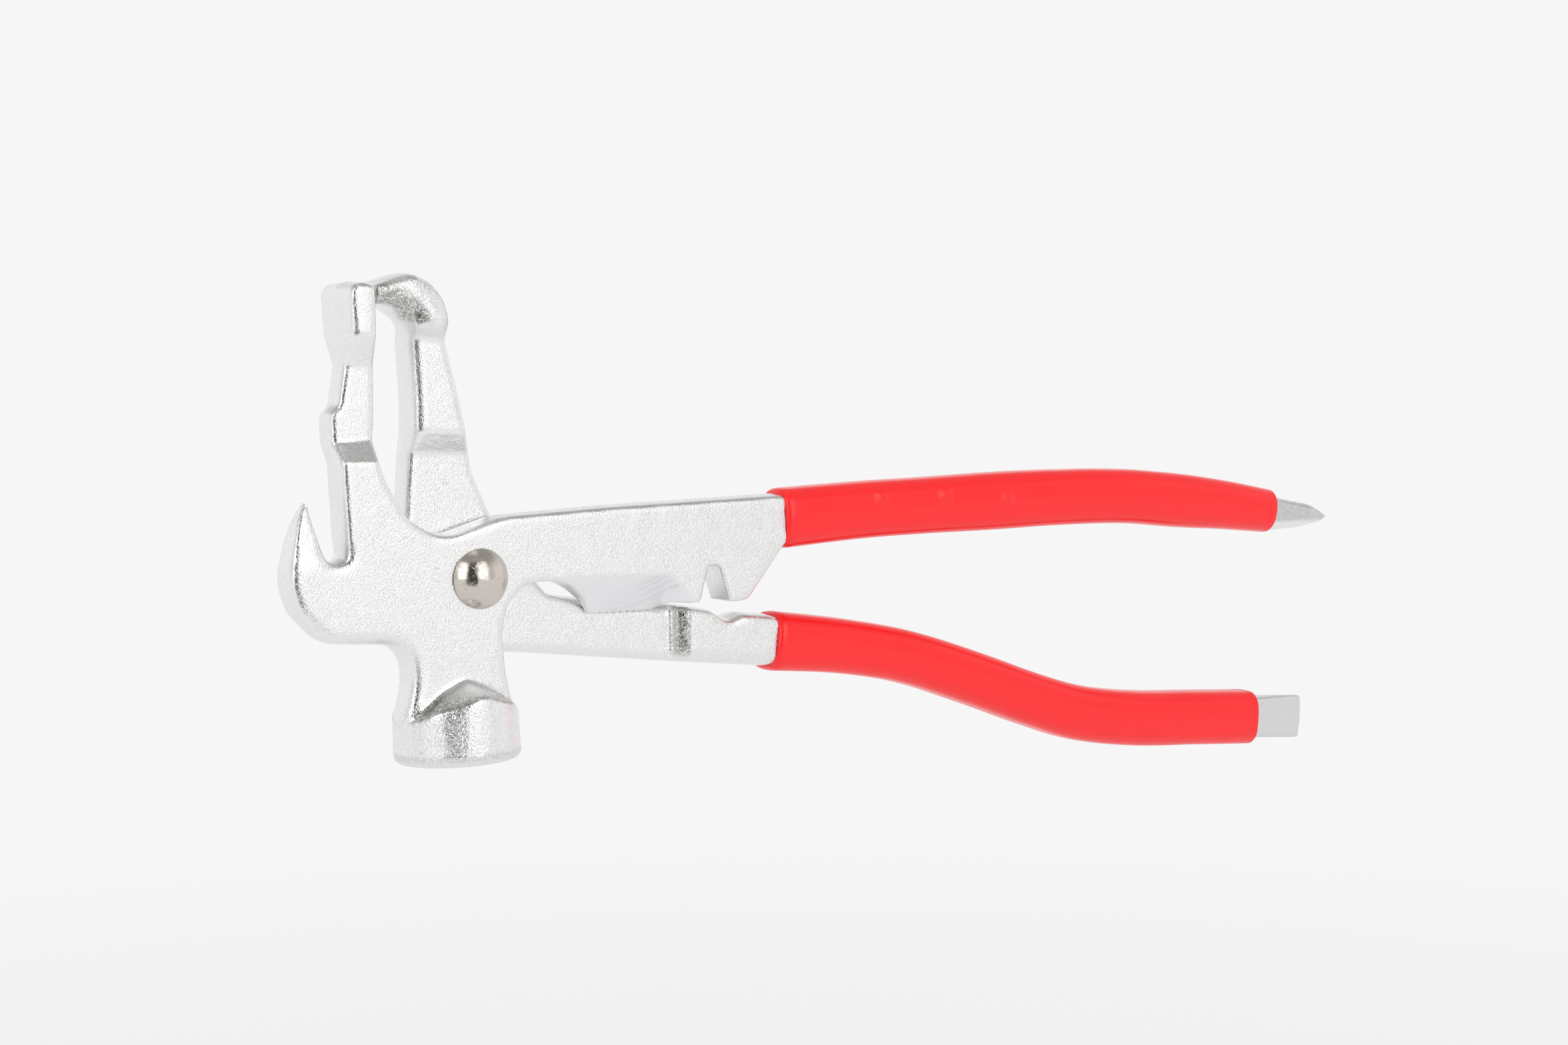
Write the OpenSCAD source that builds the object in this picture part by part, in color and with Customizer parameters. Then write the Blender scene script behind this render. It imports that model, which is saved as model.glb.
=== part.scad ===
// Wheel weight pliers: two forged levers riveted together, with dipped grips.
// The origin is the centre of the hammer face. X runs along the handles, Z runs up
// towards the jaws, and Y runs from the hammer lever back to the hook lever.
// Outlines are given from the pivot as [x, z]; the hammer lever lies about Y = 0.

/* [Pivot] */
// Height of the pivot above the middle of the hammer face
pivot_height = 36; // [34:0.5:40]
// Distance of the pivot ahead of the hammer face
pivot_ahead = 3; // [1:0.5:5]
// Diameter of the rivet's domed head
rivet_head_dia = 12; // [10:0.5:14]
// Height of the rivet's domed head
rivet_head_rise = 3.4; // [2.5:0.1:4]
// Thickness of the straight rim under the dome
rivet_rim = 0.4; // [0.2:0.1:0.8]
// Height of the formed head at the back
rivet_back_rise = 2.2; // [1.5:0.1:3]
// Diameter of the rivet's shank
rivet_shank_dia = 7; // [5:0.5:8]
// Radial clearance of the shank in the hook lever
pivot_clearance = 0.05; // [0.02:0.01:0.1]
// Gap between the faces of the two levers
lever_gap = 0.1; // [0.05:0.05:0.3]

/* [Hammer lever] */
// Thickness of the hammer lever's plate
hammer_plate = 8.5; // [7.5:0.5:10]
// Diameter of the hammer head
hammer_dia = 25.4; // [22:0.2:28]
// Length of the straight side of the hammer head
hammer_side = 8.5; // [7:0.5:10]
// Height of the shoulders' ridge above the hammer face, at the front and at the back
roof_ridge = 13.4; // [12:0.2:15]
// Extra height of the ridge at the neck
roof_fall = 4; // [1:0.5:5]
// Chamfer round the hammer face
hammer_chamfer = 1.4; // [0.8:0.1:2]
// Lean of the hammer's axis towards the handles, in degrees
hammer_lean = 3; // [0:0.5:5]
// Width of the neck above the hammer
neck_width = 20.4; // [18:0.2:22]
// Height of the hammer lever's jaw above the pivot
jaw_top = 57.9; // [54:0.5:62]
// Thickness of the slim part of the jaw
jaw_thick = 6.8; // [6:0.2:8]
// Width of the jaw's tip
tip_width = 15; // [12:0.5:17]
// Distance of the jaw's middle behind the plate's middle
jaw_setback = 3; // [2:0.5:4]
// Reach of the claw ahead of the pivot
claw_reach = 40; // [38:0.5:43]
// Height of the claw's point above the pivot
claw_top = 15.8; // [14:0.2:18]
// Width of the slot between the claw and the jaw
slot_width = 3.2; // [2.4:0.2:4]

/* [Cutter] */
// Height of the cutting edge below the pivot
cutter_drop = 8.8; // [8.4:0.1:9.4]
// Height of the ground bevel
bevel_height = 8; // [6.5:0.5:9]
// Distance from the pivot to the end of the ground bevel
bevel_end = 45.4; // [44:0.2:47]
// Radius of the round cutter that left the end of the bevel
bevel_radius = 34; // [28:1:40]
// Slope of the run-out at the end of the bevel: run for each unit of depth
bevel_run_out = 1.25; // [0.5:0.05:1.5]
// Thickness left at the cutting edge
edge_land = 0.8; // [0.5:0.1:1.2]
// Number of teeth along the cutting edge
tooth_count = 9; // [6:1:9]
// Distance from tooth to tooth
tooth_pitch = 1.65; // [1.2:0.05:1.7]
// Depth of a tooth
tooth_depth = 0.5; // [0.3:0.1:0.7]
// Width of the wire notch at its mouth
notch_width = 7.4; // [6:0.2:9]
// Depth of the wire notch
notch_depth = 7.6; // [6:0.2:8.4]

/* [Hook lever] */
// Thickness of the hook lever's plate
hook_plate = 6.6; // [6:0.2:8]
// Distance that the arm and the jaw bar step forward from the plate
hook_step = 3; // [2:0.5:4]
// Further step forward from the jaw bar to the hook
hook_pad = 3; // [2:0.5:4]
// Radius of the plate round the pivot
hook_boss_radius = 13; // [12:0.5:14]
// Height of the hook's crown above the pivot
hook_top = 60; // [57:0.5:63]
// Gap between the hook's finger and the jaw's tip when closed
jaw_gap = 0.3; // [0.2:0.1:1]

/* [Handles] */
// Distance from the pivot to the mouth of the grips
grip_start = 73.6; // [72:0.4:80]
// Distance from the pivot to the end of the grips
grip_end = 209; // [202:1:214]
// Thickness of the grips' wall
grip_wall = 1.3; // [1:0.1:2]
// Clearance between a grip and its handle
grip_clearance = 0.1; // [0.05:0.05:0.2]
// Narrowing of each handle's sides at the end of its grip
end_taper = 1.2; // [0.6:0.1:1.5]
// Distance from the pivot to the point of the awl
awl_end = 229; // [224:1:240]
// Half width of the awl where it leaves the grip
awl_half = 3.7; // [3:0.1:3.8]
// Distance from the pivot to the end of the screwdriver blade
blade_end = 226.5; // [220:0.5:238]
// Width of the screwdriver blade
blade_width = 10.2; // [8.6:0.2:10.4]
// Thickness of the screwdriver blade at its end
blade_tip = 1.2; // [0.8:0.1:2]

/* [Forging] */
// Width of the rounding along the forged edges
edge = 1; // [0.6:0.1:1.2]
// Swell of the forged sides at the parting line
draft = 0.35; // [0.1:0.05:0.5]

/* [Hidden] */
fine = 96;
eps = 0.01;
steel = [0.78, 0.79, 0.8];
nickel = [0.68, 0.65, 0.62];
red = [0.9, 0.1, 0.1];

// Planes along Y
face_y = -hammer_plate / 2;
meet_y = hammer_plate / 2;
hook_front_y = meet_y + lever_gap;
hook_back_y = hook_front_y + hook_plate;
bar_front_y = hook_front_y - hook_step;
pad_front_y = bar_front_y - hook_pad;
hook_mid_y = (bar_front_y + hook_back_y) / 2;

// Levels of each forging: [front, back], chosen by each outline point
hammer_levels = [
    [face_y, meet_y],
    [jaw_setback - jaw_thick / 2, jaw_setback + jaw_thick / 2],
    [jaw_setback - tip_width / 2, jaw_setback + tip_width / 2],
    [face_y * 0.78, meet_y * 0.78],
    [face_y * 0.5, meet_y * 0.5],
    [face_y * 0.26, meet_y * 0.26],
    [face_y + end_taper, meet_y - end_taper],
    [face_y * 0.5, meet_y * 0.5],
    [-0.7, 0.7]
];
hook_levels = [
    [hook_front_y, hook_back_y],
    [bar_front_y, hook_back_y],
    [pad_front_y, hook_back_y],
    [bar_front_y, hook_back_y],
    [hook_mid_y - blade_tip / 2, hook_mid_y + blade_tip / 2],
    [bar_front_y + end_taper, hook_back_y - end_taper],
    [(2 * hook_front_y + 3 * bar_front_y) / 5, hook_back_y]
];

// Unit vector of v
function unit(v) = v / norm(v);

// Arc that rounds corner b between a and c with radius r
function corner(a, b, c, r) =
    let(
        u = unit(a - b),
        v = unit(c - b),
        half = acos(u * v) / 2,
        p = b + u * r / tan(half),
        q = b + v * r / tan(half),
        o = b + unit(u + v) * r / sin(half),
        start = atan2(p[1] - o[1], p[0] - o[0]),
        end = atan2(q[1] - o[1], q[0] - o[0]),
        turn = end - start > 180 ? end - start - 360 : end - start < -180 ? end - start + 360 : end - start,
        steps = max(2, ceil(abs(turn) / 14))
    )
    [for (i = [0:steps]) o + r * [cos(start + turn * i / steps), sin(start + turn * i / steps)]];

// Outline points [x, z, radius, level, edge] with their corners rounded
function rounded(points) =
    let(n = len(points))
    [for (i = [0:n - 1])
        let(
            p = points[i],
            a = points[(i + n - 1) % n],
            c = points[(i + 1) % n],
            r = max(p[2], p[4] + 0.3),
            xy = p[2] > 0 ? corner([a[0], a[1]], [p[0], p[1]], [c[0], c[1]], r) : [[p[0], p[1]]]
        )
        for (q = xy) [q[0], q[1], p[3], p[4]]];

// Outline moved outwards by d for each point, inwards where d is negative
function moved(o, d) =
    let(n = len(o))
    [for (i = [0:n - 1])
        let(
            b = [o[i][0], o[i][1]],
            s = unit(b - [o[(i + n - 1) % n][0], o[(i + n - 1) % n][1]]),
            t = unit([o[(i + 1) % n][0], o[(i + 1) % n][1]] - b),
            m = [s[1], -s[0]],
            k = [t[1], -t[0]]
        )
        b + d[i] * (m + k) / (1 + m * k)];

// Twice the area of triangle a, b, c, positive where it turns left
function turning(a, b, c) = (b[0] - a[0]) * (c[1] - a[1]) - (b[1] - a[1]) * (c[0] - a[0]);

// Height of triangle a, b, c as a share of its longest side
function slimness(a, b, c) = turning(a, b, c) / pow(max(norm(b - a), norm(c - b), norm(a - c)), 2);

// True where no point of the polygon ids lies in the triangle of its points a, b and c
function is_clear(p, ids, a, b, c) =
    len([for (j = ids)
        if (j != a && j != b && j != c
            && turning(p[a], p[b], p[j]) >= 0
            && turning(p[b], p[c], p[j]) >= 0
            && turning(p[c], p[a], p[j]) >= 0) j]) == 0;

// First corner from i on that can be cut off as a triangle; thinner ones are taken where none is left
function next_ear(p, ids, i, left, slim) =
    let(n = len(ids), a = ids[(i + n - 1) % n], b = ids[i % n], c = ids[(i + 1) % n])
    left == 0 ? next_ear(p, ids, i, n, slim / 4) :
    slimness(p[a], p[b], p[c]) > slim && is_clear(p, ids, a, b, c) ? i % n :
    next_ear(p, ids, i + 1, left - 1, slim);

// Triangles that fill the polygon ids
function triangles(p, ids, start = 1) =
    let(n = len(ids))
    n == 3 ? [ids] :
        let(i = next_ear(p, ids, start, n, 0.3))
        concat(
            [[ids[(i + n - 1) % n], ids[i], ids[(i + 1) % n]]],
            triangles(p, [for (j = [0:n - 1]) if (j != i) ids[j]], i + 1)
        );

// Triangles that close one side of a forging: a flat for each level and a slope between levels
function cap_faces(o, p, first, flip) =
    let(
        n = len(o),
        top = max([for (q = o) q[2]]),
        flats = [for (k = [0:top])
            let(ids = [for (i = [0:n - 1]) if (o[i][2] == k) i])
            if (len(ids) > 2)
                for (t = triangles(p, ids)) t],
        slopes = [for (i = [0:n - 1], j = [0:n - 1])
            let(i2 = (i + 1) % n, j2 = (j + 1) % n)
            if (i < j && o[i][2] != o[i2][2] && o[i2][2] == o[j][2] && o[j2][2] == o[i][2])
                for (t = [[i, i2, j], [i, j, j2]]) t]
    )
    [for (t = concat(flats, slopes)) [for (i = flip ? [2:-1:0] : [0:2]) first + t[i]]];

// Forging with this outline, its edges rounded and its sides swelling to the parting line,
// but not where the edges are sharper, because those places are trimmed or ground flat
module forging(points, levels) {
    o = rounded(points);
    n = len(o);
    edges = [for (p = o) p[3]];
    swell = [for (p = o) p[3] < edge ? 0 : draft];
    // Each ring: share of the edge moved inwards, share of the edge in depth, side
    rings = [[1, 0, -1], [0.3, 0.3, -1], [0, 1, -1], [0, 0, 0], [0, 1, 1], [0.3, 0.3, 1], [1, 0, 1]];
    verts = [for (r = rings)
        let(m = moved(o, r[2] == 0 ? swell : -r[0] * edges))
        for (i = [0:n - 1])
            let(
                l = levels[o[i][2]],
                y = r[2] < 0 ? l[0] + r[1] * edges[i] : r[2] > 0 ? l[1] - r[1] * edges[i] : (l[0] + l[1]) / 2
            )
            [pivot_ahead + m[i][0], y, pivot_height + m[i][1]]];
    last = len(rings) - 1;
    sides = [for (k = [0:last - 1], i = [0:n - 1])
        let(a = k * n + i, b = k * n + (i + 1) % n)
        for (t = [[a, b, b + n], [a, b + n, a + n]]) t];
    inset = moved(o, -edges);
    polyhedron(
        verts,
        concat(sides, cap_faces(o, inset, 0, true), cap_faces(o, inset, last * n, false)),
        convexity = 12
    );
}

// Closed skin through rings of equal length, the last joined to the first
module looped_skin(rings) {
    m = len(rings[0]);
    n = len(rings);
    verts = [for (r = rings, p = r) p];
    faces = [for (k = [0:n - 1], i = [0:m - 1])
        let(a = k * m, b = ((k + 1) % n) * m, j = (i + 1) % m)
        for (t = [[a + i, a + j, b + j], [a + i, b + j, b + i]]) t];
    polyhedron(verts, faces, convexity = 6);
}

// Handle stations [x, z, half height of the grip], from the pivot
hammer_handle = [
    [grip_start, 9.8, 6.5],
    [92, 10.9, 6.3],
    [110, 11.5, 6.3],
    [128, 12, 6.5],
    [147, 12.4, 6.4],
    [165, 12.2, 6.3],
    [182, 10.8, 6.3],
    [196, 9.4, 5.8],
    [grip_end, 7.7, 5.2]
];
hook_handle = [
    [grip_start + 1.5, -16.8, 6.5],
    [92, -18.7, 6.1],
    [109, -21.9, 6],
    [127, -27.5, 6.1],
    [144, -33.4, 6.2],
    [158, -37.4, 6.4],
    [174, -39.6, 6.5],
    [192, -40.6, 6.5],
    [grip_end, -41.5, 6.5]
];

// Point of a smooth curve through a, b, c and d, at share t between b and c
function glide(a, b, c, d, t) =
    0.5 * (2 * b + (c - a) * t + (2 * a - 5 * b + 4 * c - d) * t * t + (3 * b - a - 3 * c + d) * t * t * t);

// Handle stations filled in, with their slopes: [x, z, half height, angle]
function filled(stations, steps) =
    let(
        n = len(stations),
        all = [for (i = [0:n - 2], s = [0:steps - (i == n - 2 ? 0 : 1)])
            glide(stations[max(i - 1, 0)], stations[i], stations[i + 1], stations[min(i + 2, n - 1)], s / steps)],
        m = len(all)
    )
    [for (i = [0:m - 1])
        let(f = all[max(i - 1, 0)], g = all[min(i + 1, m - 1)])
        [all[i][0], all[i][1], all[i][2], atan2(g[1] - f[1], g[0] - f[0])]];

// Outline points along one side of a handle's core: side is 1 above and -1 below
function core_side(stations, side, level, end_level) =
    let(f = filled(stations, 3), last = len(f) - 1)
    [for (i = [0:last])
        let(s = f[i], h = s[2] - grip_wall - grip_clearance - draft)
        [
            s[0] - side * h * sin(s[3]),
            s[1] + side * h * cos(s[3]),
            0,
            i == last ? end_level : level,
            edge
        ]];

function reversed(list) = [for (i = [len(list) - 1:-1:0]) list[i]];

// Ring of a grip round station s: half height h and half thickness w about plane y
function grip_ring(s, shift, h, w, y, r) =
    let(sides = 28)
    [for (i = [0:sides - 1])
        let(
            a = 360 * i / sides,
            u = (h - r) * sign(round(cos(a) * 1000)) + r * cos(a),
            v = (w - r) * sign(round(sin(a) * 1000)) + r * sin(a)
        )
        [
            pivot_ahead + s[0] + shift * cos(s[3]) - u * sin(s[3]),
            y + v,
            pivot_height + s[1] + shift * sin(s[3]) + u * cos(s[3])
        ]];

// Hollow grip round a handle whose core lies between planes front and back
module grip(stations, front, back) {
    f = filled(stations, 4);
    n = len(f);
    y = (front + back) / 2;
    bore_w = (back - front) / 2 + grip_clearance;
    w = bore_w + grip_wall;
    lip = 1.8;
    corner_out = 4.5;
    corner_in = 1.2;
    mouth = f[0];
    tail = f[n - 1];
    outer = concat(
        [grip_ring(mouth, -lip, mouth[2] - 1, w - 1, y, corner_out - 1)],
        [grip_ring(mouth, -lip * 0.7, mouth[2] - 0.3, w - 0.3, y, corner_out - 0.3)],
        [for (i = [0:n - 2]) grip_ring(f[i], 0, f[i][2], w, y, corner_out)],
        [for (a = [0:22.5:90])
            let(d = grip_wall * (1 - cos(a)))
            grip_ring(tail, (sin(a) - 1) * 2.6, tail[2] - d, w - d - end_taper * (1 - cos(a)), y, corner_out - 2 * d)]
    );
    inner = concat(
        [grip_ring(mouth, -lip, mouth[2] - grip_wall, bore_w, y, corner_in)],
        [for (i = [0:n - 2]) grip_ring(f[i], 0, f[i][2] - grip_wall, bore_w, y, corner_in)],
        [grip_ring(tail, 0, tail[2] - grip_wall, bore_w - end_taper, y, corner_in)]
    );
    looped_skin(concat(outer, reversed(inner)));
}

// Outline of the hammer lever, anticlockwise seen from the front
neck_left = -4.2 - neck_width / 2;
neck_right = neck_left + neck_width;
slot_left = -28.9 - slot_width;
notch_left = 51;
notch_right = notch_left + notch_width;
belly_z = -7;
tip_face = -21.8;
hammer_outline = concat(
    reversed(core_side(hammer_handle, 1, 0, 6)),
    [
        [70.5, 14.7, 0, 0, edge],
        [30, 13.3, 0, 0, edge],
        [5.5, 12, 18, 0, edge],
        [-8, 7.9, 9, 0, edge],
        [-15.3, 12, 8, 0, edge],
        [-20, 19.5, 12, 0, edge],
        [-21.3, 23.4, 0, 0, edge],
        [-20.9, 27.4, 0, 1, edge],
        [-20.6, 32, 0, 1, edge],
        [-20.6, 42, 0, 1, edge],
        [tip_face, 48, 0, 2, edge],
        [tip_face - 0.2, jaw_top - 0.6, 1.2, 2, edge],
        [-24.5, jaw_top, 0, 2, edge * 1.2],
        [-27.4, jaw_top - 0.6, 2.2, 2, edge],
        [-27.1, 48, 0, 2, edge * 1.5],
        [-27, 42, 0, 1, edge * 1.2],
        [-28.1, 34.3, 0.8, 1, edge],
        [-29.9, 32.4, 0.8, 1, edge],
        [-29.7, 27, 0, 1, edge],
        [-29.3, 23.2, 0, 0, edge],
        [-28.9, 17, 0, 0, edge],
        [-28, 3.9, 1, 0, edge],
        [slot_left, 3.9, 1, 0, edge],
        [-claw_reach + 6.3, 8, 0, 3, edge * 0.8],
        [-claw_reach + 5.3, 12, 0, 4, edge * 0.6],
        [-claw_reach + 4.9, claw_top - 1, 0, 5, edge * 0.35],
        [-claw_reach + 4.4, claw_top, 0, 5, edge * 0.35],
        [-claw_reach + 3.7, claw_top - 0.9, 0, 5, edge * 0.35],
        [-claw_reach + 2.3, 12, 0, 4, edge * 0.6],
        [-claw_reach + 1.1, 8, 0, 3, edge * 0.8],
        [-claw_reach + 0.1, 3.5, 0, 0, edge],
        [-claw_reach, -0.5, 4, 0, edge],
        [-claw_reach + 1.6, -5.4, 5, 0, edge],
        [-claw_reach + 7.6, -11.4, 6, 0, edge],
        [neck_left, -12.4, 6, 0, edge * 1.4],
        [neck_left, -20, 0, 0, edge * 1.6],
        [neck_left - 0.8, -24.5, 6, 0, edge * 1.8],
        [neck_left - 1.8, -27.5, 0, 0, edge * 1.8],
        [neck_right + 3, -27.5, 0, 0, edge * 1.4],
        [neck_right + 1.2, -23.5, 8, 0, edge * 1.4],
        [neck_right, -18.5, 0, 0, edge],
        [neck_right - 0.8, -11, 6, 0, edge],
        [7, -1.2, 8, 0, edge * 0.8],
        [20, -1.2, 12, 0, edge * 0.5],
        [26.2, -5.5, 4, 0, edge * 0.3],
        [28.4, -cutter_drop, 0, 0, edge * 0.3],
        [36, -cutter_drop - 0.3, 0, 0, edge * 0.3],
        [43.5, -cutter_drop + 0.3, 0, 0, edge * 0.3],
        [46.5, belly_z, 0.8, 0, edge * 0.6],
        [notch_left, belly_z, 1.2, 0, edge * 0.3],
        [notch_left + 2, belly_z + notch_depth, 0.5, 0, edge * 0.3],
        [notch_right - 2.6, belly_z + notch_depth, 0.5, 0, edge * 0.3],
        [notch_right, belly_z, 0, 0, edge * 0.3],
        [62.8, belly_z, 2.6, 0, edge],
        [72, 4.4, 0, 0, edge]
    ],
    core_side(hammer_handle, -1, 0, 6),
    [
        [grip_end + 2, 7.1 - awl_half, 0, 6, edge * 1.6],
        [awl_end - 10, 6.4 - awl_half * 0.75, 0, 7, edge * 1.2],
        [awl_end - 2, 4.7, 0, 8, edge * 0.5],
        [awl_end, 5.8, 0, 8, edge * 0.4],
        [awl_end - 2.4, 7.4, 0, 8, edge * 0.5],
        [awl_end - 6, 6.4 + awl_half * 0.6, 0, 7, edge * 1.2],
        [grip_end + 2, 7 + awl_half, 0, 6, edge * 1.6]
    ]
);

// Places the pivot's axis along Y at plane y
module at_pivot(y) translate([pivot_ahead, y, pivot_height]) rotate([-90, 0, 0]) children();

// Hammer head: its face at the origin, its shoulders a gable roof that falls to the front and the back
module hammer_head() {
    radius = hammer_dia / 2;
    half = radius + 1;
    rotate([0, -hammer_lean, 0])
        intersection() {
            rotate_extrude($fn = fine)
                polygon([
                    [0, 0],
                    [radius - hammer_chamfer, 0],
                    [radius - 0.3 * hammer_chamfer, 0.3 * hammer_chamfer],
                    [radius, hammer_chamfer],
                    [radius - 0.3, roof_ridge],
                    [0, roof_ridge + roof_fall]
                ]);
            hull()
                for (side = [-1:1])
                    translate([0, side * half, 0])
                        rotate([90, 0, 0])
                            linear_extrude(eps, center = true)
                                polygon([
                                    [-half, -1],
                                    [half, -1],
                                    [half, hammer_side - 0.8],
                                    [0.5, side == 0 ? roof_ridge + roof_fall : roof_ridge],
                                    [-half, hammer_side - 1]
                                ]);
        }
}

// Ground bevel of the cutter: the front of the plate cut back to the edge by a round cutter
module cutter_bevel() {
    depth = hammer_plate - edge_land;
    slant = atan2(depth, bevel_height);
    intersection() {
        translate([pivot_ahead + bevel_end - bevel_radius, meet_y - edge_land, pivot_height - cutter_drop])
            rotate([90 + slant, 0, 0])
                cylinder(
                    h = 2 * hammer_plate,
                    r1 = bevel_radius,
                    r2 = bevel_radius + 2 * hammer_plate * bevel_run_out,
                    $fn = fine
                );
        translate([pivot_ahead + neck_right + 4, -2 * hammer_plate, 0])
            cube([2 * bevel_end, 4 * hammer_plate, 2 * pivot_height]);
    }
}

// Teeth filed across the cutting edge
module teeth() {
    for (i = [0:tooth_count - 1])
        translate([pivot_ahead + 29.6 + i * tooth_pitch, meet_y - 3, pivot_height - cutter_drop - 0.15])
            rotate([-90, 0, 0])
                rotate(45)
                    translate([-tooth_depth / 2, -tooth_depth / 2, 0])
                        cube([tooth_depth * 1.4, tooth_depth * 1.4, 6]);
}

// Forged lever with the hammer, the claw, one jaw and the cutter's blade
module hammer_lever() {
    color(steel)
        difference() {
            union() {
                forging(hammer_outline, hammer_levels);
                hammer_head();
            }
            at_pivot(face_y - 1)
                cylinder(h = hammer_plate + 2, d = rivet_shank_dia, $fn = fine);
            cutter_bevel();
            teeth();
        }
}

// Outline of the hook lever, anticlockwise seen from the front
finger_end = tip_face + draft + jaw_gap;
blade_z = -42.5;
hook_outline = concat(
    reversed(core_side(hook_handle, 1, 3, 5)),
    [
        [72, -11, 0, 3, edge * 1.3],
        [65.6, -10.4, 2, 3, edge * 1.3],
        [61.6, -11.8, 3, 3, edge * 1.3],
        [57.4, -9.3, 2, 3, edge * 1.3],
        [51.6, -8.3, 0, 3, edge * 1.3],
        [49.5, -8.1, 0, 6, edge * 1.2],
        [49, -8, 0, 0, edge],
        [46, -7.8, 0, 0, edge * 2],
        [30, -6, 4, 0, edge * 2],
        [23, -5.2, 2, 0, edge],
        [20, -4.4, 2, 0, edge],
        [15.5, 0.5, 6, 0, edge],
        [7.2, 12, 4, 0, edge],
        [3.1, 20.5, 6, 0, edge],
        [2.3, 24.7, 0, 0, edge],
        [0.4, 29.2, 0, 1, edge * 1.3],
        [-1.4, 36.8, 0, 1, edge * 1.3],
        [-4.1, 46.8, 0, 1, edge * 1.3],
        [-3.8, 50.8, 0, 2, edge * 3],
        [-4.6, 55, 6, 2, edge * 3.4],
        [-8.2, 58.8, 5, 2, edge * 3.4],
        [-13, hook_top, 5, 2, edge * 2],
        [-17.6, hook_top - 1.5, 4, 2, edge * 1.6],
        [finger_end, 57.4, 1, 2, edge * 0.9],
        [finger_end, 53.7, 0, 2, edge * 0.9],
        [-16.8, 53.8, 4, 2, edge * 2.4],
        [-14.9, 52, 0, 2, edge * 3.5],
        [-12.9, 50, 2, 2, edge * 4.2],
        [-11.8, 46.8, 0, 1, edge * 1.9],
        [-11, 36, 0, 1, edge * 1.8],
        [-10.9, 29.2, 0, 1, edge * 1.8],
        [-11.1, 24.7, 0, 0, edge]
    ],
    [for (a = [162:18:252]) [hook_boss_radius * cos(a), hook_boss_radius * sin(a), 0, 0, edge]],
    [
        [0, -14.7, 6, 0, edge],
        [15.5, -16, 0, 0, edge * 1.4],
        [49, -19.5, 0, 0, edge * 1.4],
        [49.5, -19.5, 0, 6, edge * 1.6],
        [51.6, -19.7, 0, 3, edge * 2.4],
        [72, -21.6, 0, 3, edge * 2.4]
    ],
    core_side(hook_handle, -1, 3, 5),
    [
        [blade_end - 0.7, blade_z - blade_width / 2, 0, 4, edge * 0.3],
        [blade_end, blade_z - 0.8, 0, 4, edge * 0.3],
        [blade_end, blade_z + blade_width / 2, 0.8, 4, edge * 0.3]
    ]
);

// Forged lever with the hook, the other jaw and the screwdriver
module hook_lever() {
    color(steel)
        difference() {
            forging(hook_outline, hook_levels);
            at_pivot(pad_front_y)
                cylinder(h = hook_back_y - pad_front_y + 1, r = rivet_shank_dia / 2 + pivot_clearance, $fn = fine);
        }
}

// Solid rivet: domed head in front, shank through both levers, formed head behind
module pivot_rivet() {
    radius = rivet_head_dia / 2;
    back_gap = 0.1;
    back = hook_back_y + back_gap - face_y;
    steps = 10;
    dome = (radius * radius + rivet_head_rise * rivet_head_rise) / (2 * rivet_head_rise);
    spread = asin(radius / dome);
    back_dome = (radius * radius + rivet_back_rise * rivet_back_rise) / (2 * rivet_back_rise);
    back_spread = asin(radius / back_dome);
    color(nickel)
        at_pivot(face_y)
            rotate_extrude($fn = fine)
                polygon(concat(
                    [for (i = [0:steps])
                        [dome * sin(spread * i / steps), dome * cos(spread) - dome * cos(spread * i / steps) - rivet_rim]],
                    [[radius, 0], [rivet_shank_dia / 2, 0], [rivet_shank_dia / 2, back], [radius, back]],
                    [for (i = [steps:-1:0])
                        [back_dome * sin(back_spread * i / steps),
                            back + rivet_rim - back_dome * cos(back_spread) + back_dome * cos(back_spread * i / steps)]]
                ));
}

// Dipped grip on the hammer lever
module hammer_lever_grip() {
    color(red) grip(hammer_handle, face_y, meet_y);
}

// Dipped grip on the hook lever
module hook_lever_grip() {
    color(red) grip(hook_handle, bar_front_y, hook_back_y);
}

hammer_lever();
hook_lever();
pivot_rivet();
hammer_lever_grip();
hook_lever_grip();
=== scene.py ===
"""Wheel weight pliers: forged and plated levers, a polished rivet and dipped grips, on a pale floor."""

import math

import bmesh
import bpy
import numpy as np
from bpy.props import FloatProperty, FloatVectorProperty, IntProperty, PointerProperty
from mathutils import Matrix, Vector


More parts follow.
